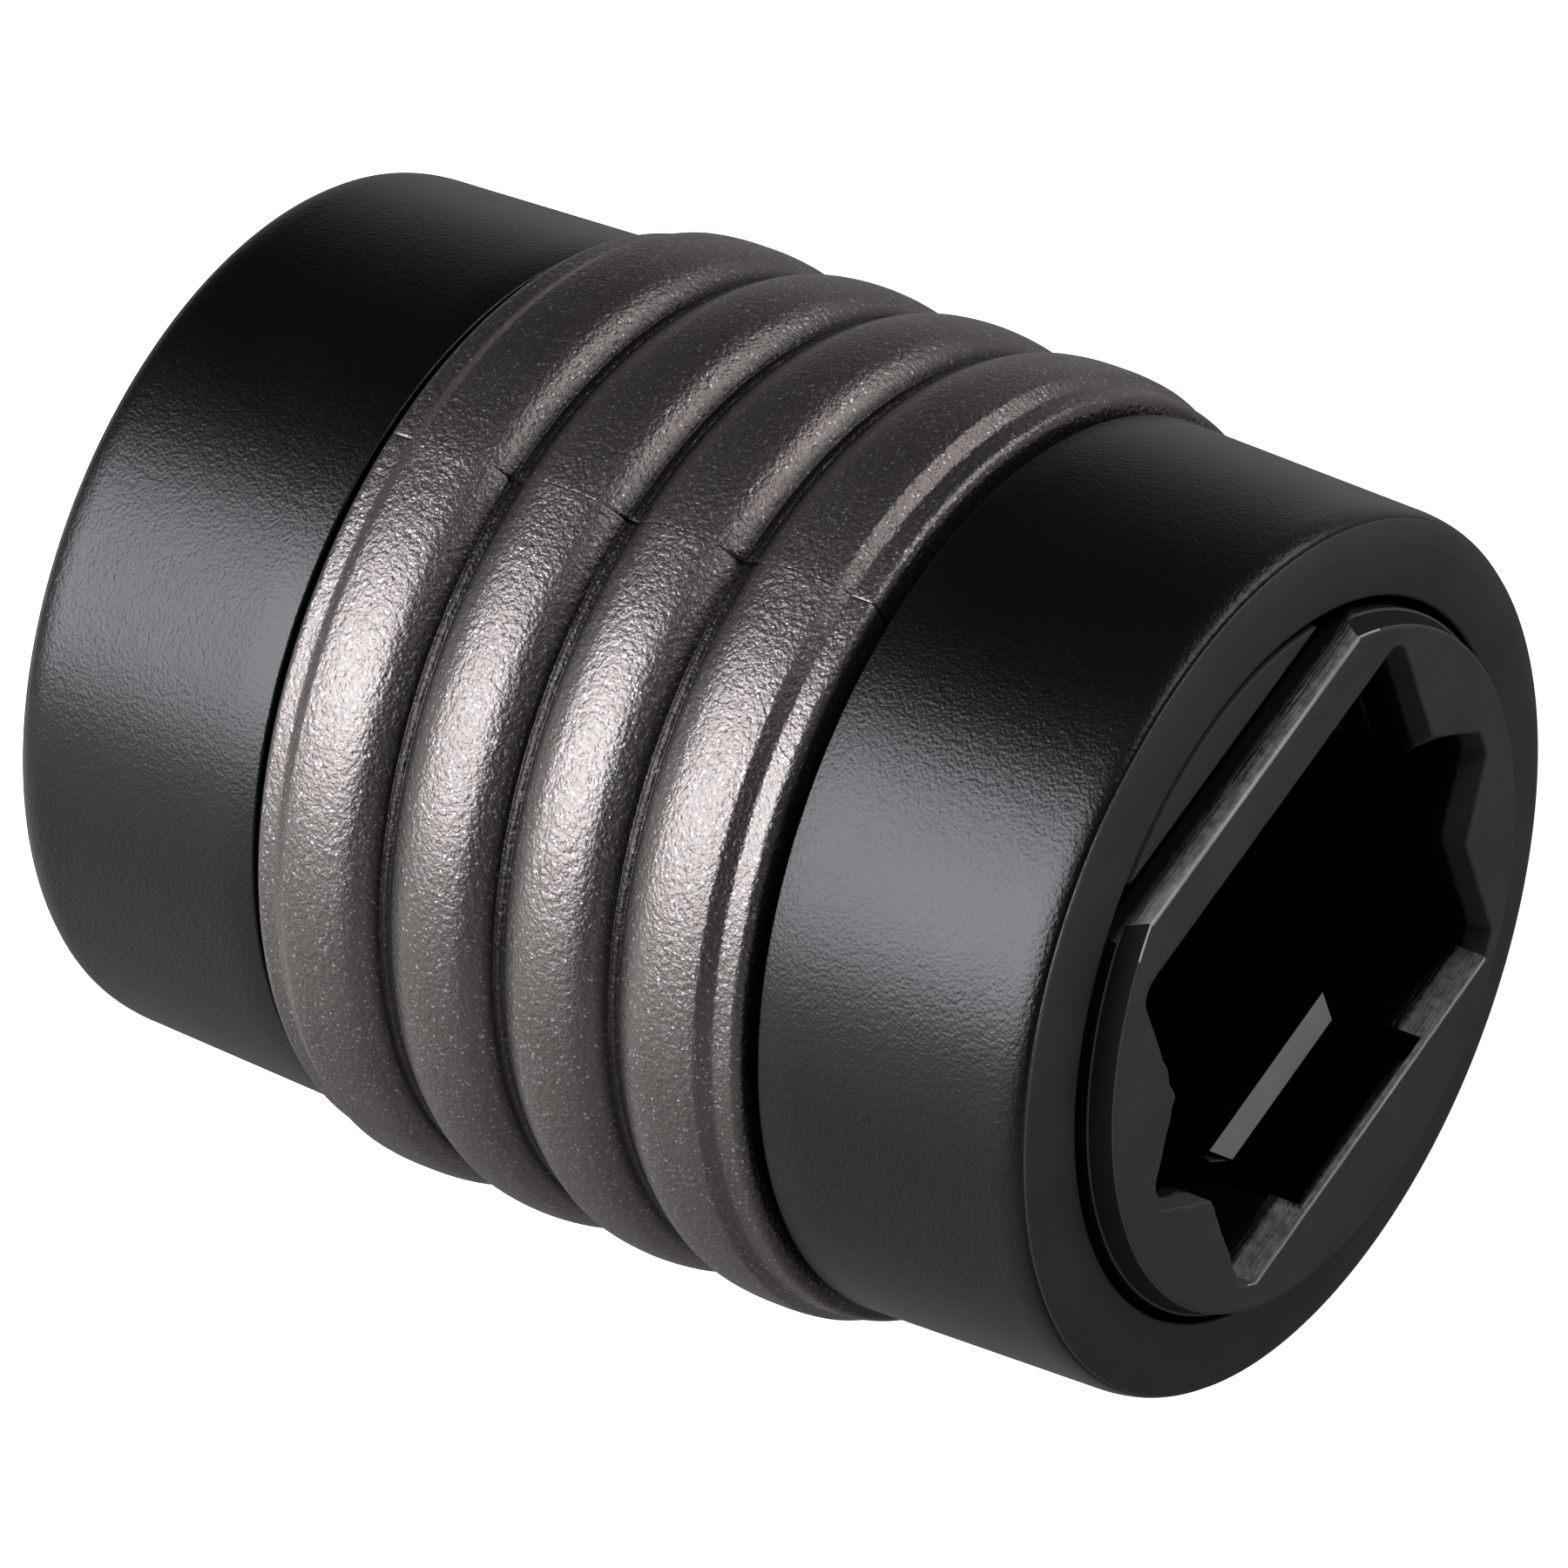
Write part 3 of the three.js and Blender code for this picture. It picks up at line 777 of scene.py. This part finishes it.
def make_grip_half(side, name):
    outer = grip_outline()
    bm = bmesh.new()
    rows = []
    # Steps are fine near the joint and even elsewhere.
    near = [0.0, 0.2, 0.45, 0.75, 1.1, 1.6, 2.4, 3.5, 5.0, 7.0]
    turns = [math.radians(v / JOINT_R * 0.35) for v in near]
    first = turns[-1]
    count = 120
    middle = [first + (math.pi - 2 * first) * k / count for k in range(1, count)]
    turns = turns + middle + [math.pi - t for t in reversed(turns)]
    for t in turns:
        row = []
        from_edge = min(t, math.pi - t) * JOINT_R
        for r, x in outer:
            depth = (GRIP["crest"] - r) / (GRIP["crest"] - GRIP["valley"])
            low = min(1.0, max(0.0, depth))
            opening = JOINT["gap"] / 2 + JOINT["notch"] * low**3
            ridge = JOINT["drop"] * max(0.0, 1 - from_edge / JOINT["rise"]) ** 2 * (1 - low)
            peak = math.exp(-(((from_edge - 0.035) / 0.022) ** 2))
            ridge += JOINT["ridge"] * peak * (1 - min(1.0, low * 2.0))
            roll = JOINT["roll"] * max(0.0, 1 - from_edge / 0.05) ** 2
            radius = r - JOINT["drop"] - roll * (0.25 + 0.75 * depth)
            radius += ridge if side < 0 else 0.0
            radius = min(radius, GRIP["crest"] - 0.0005)
            shut = opening / radius
            a = shut + (math.pi - 2 * shut) * (t / math.pi)
            row.append((radius, a, x))
        row.append((GRIP["bore"], a, GRIP["half"]))
        row.append((GRIP["bore"], a, -GRIP["half"]))
        rows.append(row)
    made = []
    for row in rows:
        line = []
        for radius, a, x in row:
            # a runs from the upper joint to the lower joint on this half's side.
            angle = math.pi / 2 + PARTING_TURN - side * a
            across, up = radius * math.cos(angle) * MM, radius * math.sin(angle) * MM
            line.append(bm.verts.new((across, x * MM, up)))
        made.append(line)
    for here, there in zip(made, made[1:]):
        for k in range(len(here)):
            bm.faces.new((here[k], here[k - 1], there[k - 1], there[k]))
    for line in (made[0], made[-1]):
        # Each joint face is a strip between the outer line and the bore.
        outer_line, bore = line[:-2], (line[-1], line[-2])
        half = len(outer_line) // 2
        for a, b in zip(outer_line[:half], outer_line[1 : half + 1]):
            bm.faces.new((a, b, bore[0]))
        bm.faces.new((outer_line[half], bore[1], bore[0]))
        for a, b in zip(outer_line[half:-1], outer_line[half + 1 :]):
            bm.faces.new((a, b, bore[1]))
    shell = finish_mesh(bm, name, GRIP_PAINT, sharp=50, weighted=False)
    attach(shell, "root")
    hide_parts(name)
    return shell


for side, name in ((-1, "grip_shell_left"), (1, "grip_shell_right")):
    made = make_grip_half(side, name)
    print(made.name, len(made.data.polygons), "faces")

# %% [markdown]
# ## Core tube, partition and ferrule bush
#
# These three hold the coupler together and are mostly hidden: the tube shows as a black line
# between grip and sleeves, and the partition and bush lie deep in the sockets. They are turned
# from plain outlines with small edge radii. The partition's hole is closed up to the bush that it
# holds, so that no light shows round it. Both are a guess at what is usual here.

# %% Core tube, partition and bush


def make_turned_inside(name, outline, radii, material, steps=160):
    ring = turned(name, soften(outline, radii), material, steps=steps)
    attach(ring, "root")
    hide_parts(name)
    print(ring.name, len(ring.data.polygons), "faces")
    return ring


make_turned_inside(
    "core_tube",
    [(6.4, 8.25), (7.5, 8.25), (7.5, 6.0), (7.5, 0.0)]
    + [(7.5, -6.0), (7.5, -8.25), (6.4, -8.25), (6.4, 0.0)],
    [0.1, 0.2, 0, 0, 0, 0.2, 0.1, 0],
    CORE_BLACK,
)
make_turned_inside(
    "centre_wall",
    [(1.852, 0.6), (6.3, 0.6), (6.3, -0.6), (1.852, -0.6)],
    [0.06, 0.1, 0.1, 0.06],
    CORE_BLACK,
)
make_turned_inside(
    "ferrule_sleeve",
    [(1.6, 3.6), (1.85, 3.6), (1.85, -3.6), (1.6, -3.6), (1.25, -3.25), (1.25, 3.25)],
    [0.03, 0.08, 0.08, 0.03, 0.1, 0.1],
    BUSH_GREY,
    steps=96,
)

# %% [markdown]
# ## Plates with a hole
#
# The nose plate, the plug guide and the key segment are extrusions of a drawn section. Each side
# of the piece, outside and hole, is a stack of loops, and every loop is the section moved in or
# out by a hair, which rounds the edges. The flat ends are filled between the outer loop and the
# hole. An extruded curve would be shorter to write, but its edge rounding can't be kept clear of
# the notches.

# %% Section helpers


def area_of(loop):
    return 0.5 * sum(a[0] * b[1] - b[0] * a[1] for a, b in zip(loop, loop[1:] + loop[:1]))


def grown(loop, by):
    """The loop moved outwards by a distance, with mitred corners."""
    if area_of(loop) < 0:
        loop = loop[::-1]
    made = []
    for i, p in enumerate(loop):
        p = Vector(p)
        a = (p - Vector(loop[i - 1])).normalized()
        b = (Vector(loop[(i + 1) % len(loop)]) - p).normalized()
        na, nb = Vector((a.y, -a.x)), Vector((b.y, -b.x))
        out = (na + nb).normalized()
        made.append(tuple(p + out * (by / max(0.35, out.dot(na)))))
    return made


def edge_rows(loop, low, high, edge, into, steps=3):
    """Loops for a wall from low to high reach; into is +1 for a hole and -1 for an outside."""
    rows = []
    for k in range(steps + 1):
        t = math.pi / 2 * k / steps
        rows.append((grown(loop, into * edge * (1 - math.sin(t))), low + edge * (1 - math.cos(t))))
    for k in range(steps + 1):
        t = math.pi / 2 * (1 - k / steps)
        rows.append((grown(loop, into * edge * (1 - math.sin(t))), high - edge * (1 - math.cos(t))))
    return rows


def stack(bm, rows):
    """Skins a stack of loops and returns the first and last loop of corners."""
    made = [[bm.verts.new((x * MM, -reach * MM, z * MM)) for x, z in loop] for loop, reach in rows]
    for here, there in zip(made, made[1:]):
        for i in range(len(here)):
            bm.faces.new((here[i - 1], here[i], there[i], there[i - 1]))
    return made[0], made[-1]


def fill(bm, loops):
    """Fills the flat end between an outer loop and its holes."""
    flat = [v for loop in loops for v in loop]
    for tri in tessellate_polygon([[v.co for v in loop] for loop in loops]):
        bm.faces.new([flat[i] for i in tri])


def plate(name, walls, material, **more):
    """A flat-ended piece from its stacks of loops, the outside first."""
    bm = bmesh.new()
    ends = [stack(bm, rows) for rows in walls]
    fill(bm, [low for low, _ in ends])
    fill(bm, [high for _, high in ends])
    return finish_mesh(bm, name, material, **more)


def d_section(radius, flat, steps=96):
    """A circle with its top cut off flat, anticlockwise from the flat's left end."""
    start = math.asin(flat / radius)
    loop = []
    for k in range(steps + 1):
        a = math.pi - start + (math.pi + 2 * start) * k / steps
        loop.append((radius * math.cos(a), radius * math.sin(a)))
    return loop


# %% [markdown]
# ## Socket nose
#
# The nose is the thin plate at the end of the socket: a disc with one flat side, and a square
# mouth with a notch in each side wall for the ribs of a lead's plug. Its lower lip is relieved
# from behind so that the tip of the floor spring can sit under it. The relief is cut with a
# Boolean, as the mould's core would leave it. The mouth sits a tenth of a millimetre off centre
# and its left edge is a little ragged, as on a quickly moulded part. Blender takes its noise
# offsets from the clock unless it is given a seed, so the seed is set here, and the edge comes
# out the same on every run. Faces are sorted by where they lie and which way they look, and get
# the pale painted light, the painted highlight of the edges or the painted shade of the side.

# %% Socket nose
NOSE_REACH, NOSE_PLATE, NOSE_R, NOSE_FLAT = 11.44, 0.83, 6.27, 5.27
MOUTH_HALF, NOTCH_TIP = 4.25, 5.42
MOUTH_SHIFT = (0.12, -0.09)
MOUTH_ROUGHNESS, ROUGH_STEP, MOUTH_SEED = 0.055, 0.16, 1795018794
noise.seed_set(MOUTH_SEED)
LIP_RELIEF, FOOT_END = 2.02, 11.0
SIDE_FROM_R, FLAT_ABOVE, FLOOR_BELOW, BEVEL_REACH = 6.15, 5.2, -4.2, 11.3


def rough_edge(loop, amount, counts):
    """Cuts a loop into short steps and pushes them about, most on its left side."""
    made = []
    for i, (b, pieces) in enumerate(zip(loop, counts)):
        a = loop[i - 1]
        for k in range(1, pieces + 1):
            x = a[0] + (b[0] - a[0]) * k / pieces
            z = a[1] + (b[1] - a[1]) * k / pieces
            share = amount * (1.0 if x < -4.0 and z < 3.6 else 0.16)
            coarse = noise.noise_vector(Vector((x * 2.9, z * 2.9, 4.1)))
            fine = noise.noise_vector(Vector((x * 7.3, z * 7.3, 1.7)))
            push = coarse + 0.6 * fine
            made.append((x + share * push.x, z + share * push.y))
    return made


def mouth_loop(step_at_back=0.0):
    """The mouth, anticlockwise; the upper side of each notch closes towards the back."""
    w, up = MOUTH_HALF, 1.5 - step_at_back
    low, tip = 1.5, NOTCH_TIP
    right = [(w, -low), (tip, -0.3), (tip, 0.3 - 0.25 * step_at_back), (w, up)]
    left = [(-x, z) for x, z in reversed(right)]
    cut = -w + 0.34
    points = [(-cut, -w), (w, cut), *right, (w, w), (-w, w), *left, (-w, cut), (cut, -w)]
    radii = [0.05, 0.05, 0.08, 0.25, 0.25, 0.08, 0.4, 0.4, 0.08, 0.2, 0.2, 0.08, 0.05, 0.05]
    return [(x + MOUTH_SHIFT[0], z + MOUTH_SHIFT[1]) for x, z in soften(points, radii)]


def cut_with(piece, cutter):
    """Takes the cutter out of the piece for good and removes the cutter."""
    boolean = piece.modifiers.new("cut", "BOOLEAN")
    boolean.operation = "DIFFERENCE"
    boolean.solver = "EXACT"
    boolean.object = cutter
    while piece.modifiers[0] != boolean:
        piece.modifiers.move(piece.modifiers.find("cut"), 0)
    bpy.context.view_layer.update()
    shown = piece.evaluated_get(bpy.context.evaluated_depsgraph_get())
    mesh = bpy.data.meshes.new_from_object(shown)
    materials = list(piece.data.materials)
    piece.modifiers.clear()
    piece.data = mesh
    mesh.materials.clear()
    for material in materials:
        mesh.materials.append(material)
    bpy.data.objects.remove(cutter)
    return piece


def finish_of_nose_face(face):
    """The place of a face's finish in the nose's list of four; a later rule wins."""
    front, r = -face.center.y / MM, math.hypot(face.center.x, face.center.z) / MM
    x, z = face.center.x / MM, face.center.z / MM
    picked = 0
    # The nose's side wall gets the painted shade.
    if r > SIDE_FROM_R and abs(face.normal.y) < 0.4 and front < 11.40 and z < FLAT_ABOVE:
        picked = 3
    # Upward faces of the flat and the floor get the pale painted light.
    if face.normal.z > 0.85 and (z > FLAT_ABOVE or z < FLOOR_BELOW):
        picked = 1
    # Upward-facing bevels at the mouth's top and bottom get the painted highlight.
    bevel = front > BEVEL_REACH and 0.3 < abs(face.normal.y) < 0.97
    if bevel and face.normal.z > 0.25 and abs(z) > 4.15 and abs(x) < 3.95:
        picked = 2
    return picked


def make_nose(end):
    back = NOSE_REACH - NOSE_PLATE
    root_section = d_section(NOSE_R + 0.16, NOSE_FLAT - 0.15)
    outside = [(root_section, back), (root_section, FOOT_END)]
    outside += [(d_section(NOSE_R + 0.12, NOSE_FLAT), FOOT_END + 0.02)]
    outside += edge_rows(d_section(NOSE_R, NOSE_FLAT), back, NOSE_REACH, 0.07, -1)[4:]
    front_loop, back_loop = mouth_loop(), mouth_loop(0.8)
    pairs = zip([front_loop[-1]] + front_loop, front_loop)
    counts = [max(1, int(math.dist(a, b) / ROUGH_STEP)) for a, b in pairs]
    front_loop = rough_edge(front_loop, MOUTH_ROUGHNESS, counts)
    back_loop = rough_edge(back_loop, MOUTH_ROUGHNESS, counts)
    hole = edge_rows(back_loop, back, back + 0.12, 0.05, 1)[:4]
    hole += edge_rows(front_loop, back, NOSE_REACH, 0.05, 1)[4:]
    nose = plate(f"{end}_socket_bezel", [outside, hole], NOSE_GREY)
    bm = bmesh.new()
    low = Vector((-LIP_RELIEF, -(NOSE_REACH - 0.13), -5.05)) * MM
    high = Vector((LIP_RELIEF, -(back - 1.0), -3.0)) * MM
    bmesh.ops.create_cube(bm, size=1.0)
    for v in bm.verts:
        v.co = Vector([low[k] if v.co[k] < 0 else high[k] for k in range(3)])
    cutter = finish_mesh(bm, "lip_cutter", NOSE_GREY, weighted=False)
    cut_with(nose, cutter)
    for material in (PAINTED_LIGHT_GREY, EDGE_HIGHLIGHT_GREY, NOSE_SIDE_SHADE):
        nose.data.materials.append(material)
    for face in nose.data.polygons:
        picked = finish_of_nose_face(face)
        if picked:
            face.material_index = picked
    nose.data.shade_smooth()
    nose.data.set_sharp_from_angle(angle=math.radians(14))
    return place(nose, end, f"{end}_socket_bezel", "root", "nose_grey")


for end in ("front", "rear"):
    made = make_nose(end)
    print(made.name, len(made.data.polygons), "faces")

# %% [markdown]
# ## Key segment
#
# The segment fills the space between the flat of the nose and the sleeve, so that only the
# D-shaped nose stands proud. It fits its hole with a hairline all round.

# %% Key segment


KEY_BACK, KEY_FRONT = 8.6, 10.88


def segment_loop(chord=5.67, radius=6.43, steps=48):
    start = math.asin(chord / radius)
    angles = [start + (math.pi - 2 * start) * k / steps for k in range(steps + 1)]
    return [(radius * math.cos(a), radius * math.sin(a)) for a in angles]


for end in ("front", "rear"):
    rows = edge_rows(segment_loop(), KEY_BACK, KEY_FRONT, 0.03, -1)
    made = plate(f"{end}_key_segment", [rows], KEY_GREY, sharp=14)
    place(made, end, f"{end}_key_segment", "root", "nose_grey")
    print(made.name, len(made.data.polygons), "faces")

# %% [markdown]
# ## Plug guide
#
# Behind the nose a longer D-shaped body guides the plug. Its space is a rounded square with a
# channel for each rib, a groove in the floor for the leaf spring, and a window in each side wall
# through which the latch arm reaches the plug. It can't be seen from outside, so its form follows
# what is usual in such couplers.

# %% Plug guide
GUIDE_BACK, GUIDE_FRONT = 0.75, NOSE_REACH - NOSE_PLATE - 0.05
WINDOW_WIDE, WINDOW_LONG, WINDOW_TALL, WINDOW_MIDDLE = 26, 7.1, 2.3, 5.85


def guide_loop():
    w = 4.45
    right = [(w, -1.75), (5.6, -0.5), (5.6, 0.5), (w, 1.75)]
    left = [(-x, z) for x, z in reversed(right)]
    groove = [(-2.05, -w), (-2.05, -5.05), (2.05, -5.05), (2.05, -w)]
    points = [(w, -w), *right, (w, w), (-w, w), *left, (-w, -w), *groove]
    radii = [1.2, 0.1, 0.15, 0.15, 0.1, 1.2, 1.2, 0.1, 0.15, 0.15, 0.1, 1.2, 0.05, 0.05, 0.05, 0.05]
    return soften(points, radii)


def make_guide(end):
    outside = edge_rows(d_section(6.22, 5.2), GUIDE_BACK, GUIDE_FRONT, 0.06, -1)
    hole = edge_rows(guide_loop(), GUIDE_BACK, GUIDE_FRONT, 0.04, 1)
    guide = plate(f"{end}_socket_body", [outside, hole], GUIDE_BLACK)
    bm = bmesh.new()
    bmesh.ops.create_cube(bm, size=1.0)
    for v in bm.verts:
        along = (v.co.y * WINDOW_LONG - WINDOW_MIDDLE) * MM
        v.co = Vector((v.co.x * WINDOW_WIDE * MM, along, v.co.z * WINDOW_TALL * MM))
    cutter = finish_mesh(bm, "window_cutter", GUIDE_BLACK, weighted=False)
    cut_with(guide, cutter)
    guide.data.shade_smooth()
    guide.data.set_sharp_from_angle(angle=math.radians(14))
    return place(guide, end, f"{end}_socket_body", "root", "guide_black")


for end in ("front", "rear"):
    made = make_guide(end)
    print(made.name, len(made.data.polygons), "faces")

# %% [markdown]
# ## Latch arms
#
# Each latch is a springy plastic arm beside the plug, thick at its root, with a blunt nose that
# snaps into the plug's side. It is an extruded outline with softened corners, drawn in the plane
# that looks down on it, and it moves with its own body. Its form is a guess as well.

# %% Latch arms
LATCH_HALF = 0.9
LATCH_RADII = [0.06, 0.1, 0.1, 0.2, 0.08, 0.06, 0.15, 0.15, 0.15, 0.2, 0.2, 0.1]
LATCH_POINTS = [
    (5.05, 2.6),
    (5.85, 2.6),
    (5.85, 3.7),
    (5.72, 3.9),
    (5.72, 9.1),
    (5.3, 9.1),
    (5.3, 8.5),
    (4.75, 7.75),
    (4.75, 7.35),
    (5.3, 6.7),
    (5.3, 3.9),
    (5.05, 3.7),
]


def strap(outline, half, edge):
    """An outline of two coordinates extruded to both sides, with rounded edges."""
    bm = bmesh.new()
    rows = edge_rows(outline, -half, half, edge, -1)
    made = [[bm.verts.new((x, y, w)) for x, y in loop] for loop, w in rows]
    for here, there in zip(made, made[1:]):
        for i in range(len(here)):
            bm.faces.new((here[i - 1], here[i], there[i], there[i - 1]))
    for loop in (made[0], made[-1]):
        fill(bm, [loop])
    return bm


for end in ("front", "rear"):
    for side, mirror in (("right", 1), ("left", -1)):
        name = f"{end}_latch_{side}"
        bm = strap(soften(LATCH_POINTS, LATCH_RADII), LATCH_HALF, 0.05)
        for v in bm.verts:
            v.co = Vector((mirror * v.co.x, -v.co.y, v.co.z)) * MM
        made = finish_mesh(bm, name, LATCH_BLACK)
        place(made, end, name, name, "latch_black")
        print(made.name, len(made.data.polygons), "faces")

# %% [markdown]
# ## Floor springs
#
# A strip of spring steel lies in the groove under the plug. It rises to a crown that presses the
# plug upwards, drops steeply towards the mouth, and tucks its tip under the lower lip. The strip
# is a line with thickness, bent with small radii, and it narrows a little from the crown to the
# tip. The steep drop is what catches the light deep inside the mouth, and the tip beyond it is
# painted near black, a painted shade under the lip. Only the drop can be seen from outside, so
# the rest of the strip is a guess.

# %% Floor springs
LEAF_ROOT = [(2.5, -4.72), (3.4, -4.72), (8.3, -3.84)]
LEAF_TIP = [(9.42, -3.84), (9.655, -4.25), (10.3, -4.36), (11.05, -4.45)]
LEAF_TOP = LEAF_ROOT + LEAF_TIP
LEAF_RADII = [0.03, 0.3, 0.5, 0, 0, 0.3, 0, 0.03, 0.05, 0.1, 0.25, 0.3, 0.3, 0.03]
LEAF_THICK = 0.25
DARK_FROM = 9.66
ROOT_END, CROWN_END, TAPER = 8.0, 9.42, 0.23
ROOT_HALF, CROWN_HALF, TIP_HALF = 1.80, 1.93, 1.71


def below(line, thickness):
    """The same line a sheet's thickness lower, mitred at its bends."""
    slopes = [math.atan2(b[1] - a[1], b[0] - a[0]) for a, b in zip(line, line[1:])]
    made = []
    for i, (x, y) in enumerate(line):
        before, after = slopes[max(0, i - 1)], slopes[min(len(slopes) - 1, i)]
        middle, reach = (before + after) / 2, thickness / math.cos((after - before) / 2)
        made.append((x + reach * math.sin(middle), y - reach * math.cos(middle)))
    return made


def leaf_half(reach):
    if reach < ROOT_END:
        return ROOT_HALF
    if reach < CROWN_END:
        return CROWN_HALF
    return max(TIP_HALF, CROWN_HALF - (reach - CROWN_END) / TAPER * 0.22)


for end in ("front", "rear"):
    name = f"{end}_floor_spring"
    under = below(LEAF_TOP, LEAF_THICK)
    outline = soften(LEAF_TOP + under[::-1], LEAF_RADII, steps=6)
    bm = strap(outline, 1.0, 0.02)
    for v in bm.verts:
        reach, z, share = v.co.x, v.co.y, v.co.z
        v.co = Vector((-share * leaf_half(reach), -reach, z)) * MM
    made = finish_mesh(bm, name, SPRING_STEEL, sharp=40)
    # Beyond DARK_FROM the tip lies under the lip and is painted near black, a painted shade.
    made.data.materials.append(TIP_SHADE_STEEL)
    for face in made.data.polygons:
        if -face.center.y / MM > DARK_FROM:
            face.material_index = 1
    place(made, end, name, name, "spring_steel")
    print(made.name, len(made.data.polygons), "faces")

# %% [markdown]
# ## The room left in the imported model's box
#
# The room between the finished model and the imported model's box is printed for each side.
# The finished model must stay in the imported model's box.

seen_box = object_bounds()
spare = [round((b - a) / MM, 3) for a, b in zip(cad_box[0], seen_box[0])]
spare += [round((a - b) / MM, 3) for a, b in zip(cad_box[1], seen_box[1])]
print("room inside the packed box on each side, in mm:", spare)
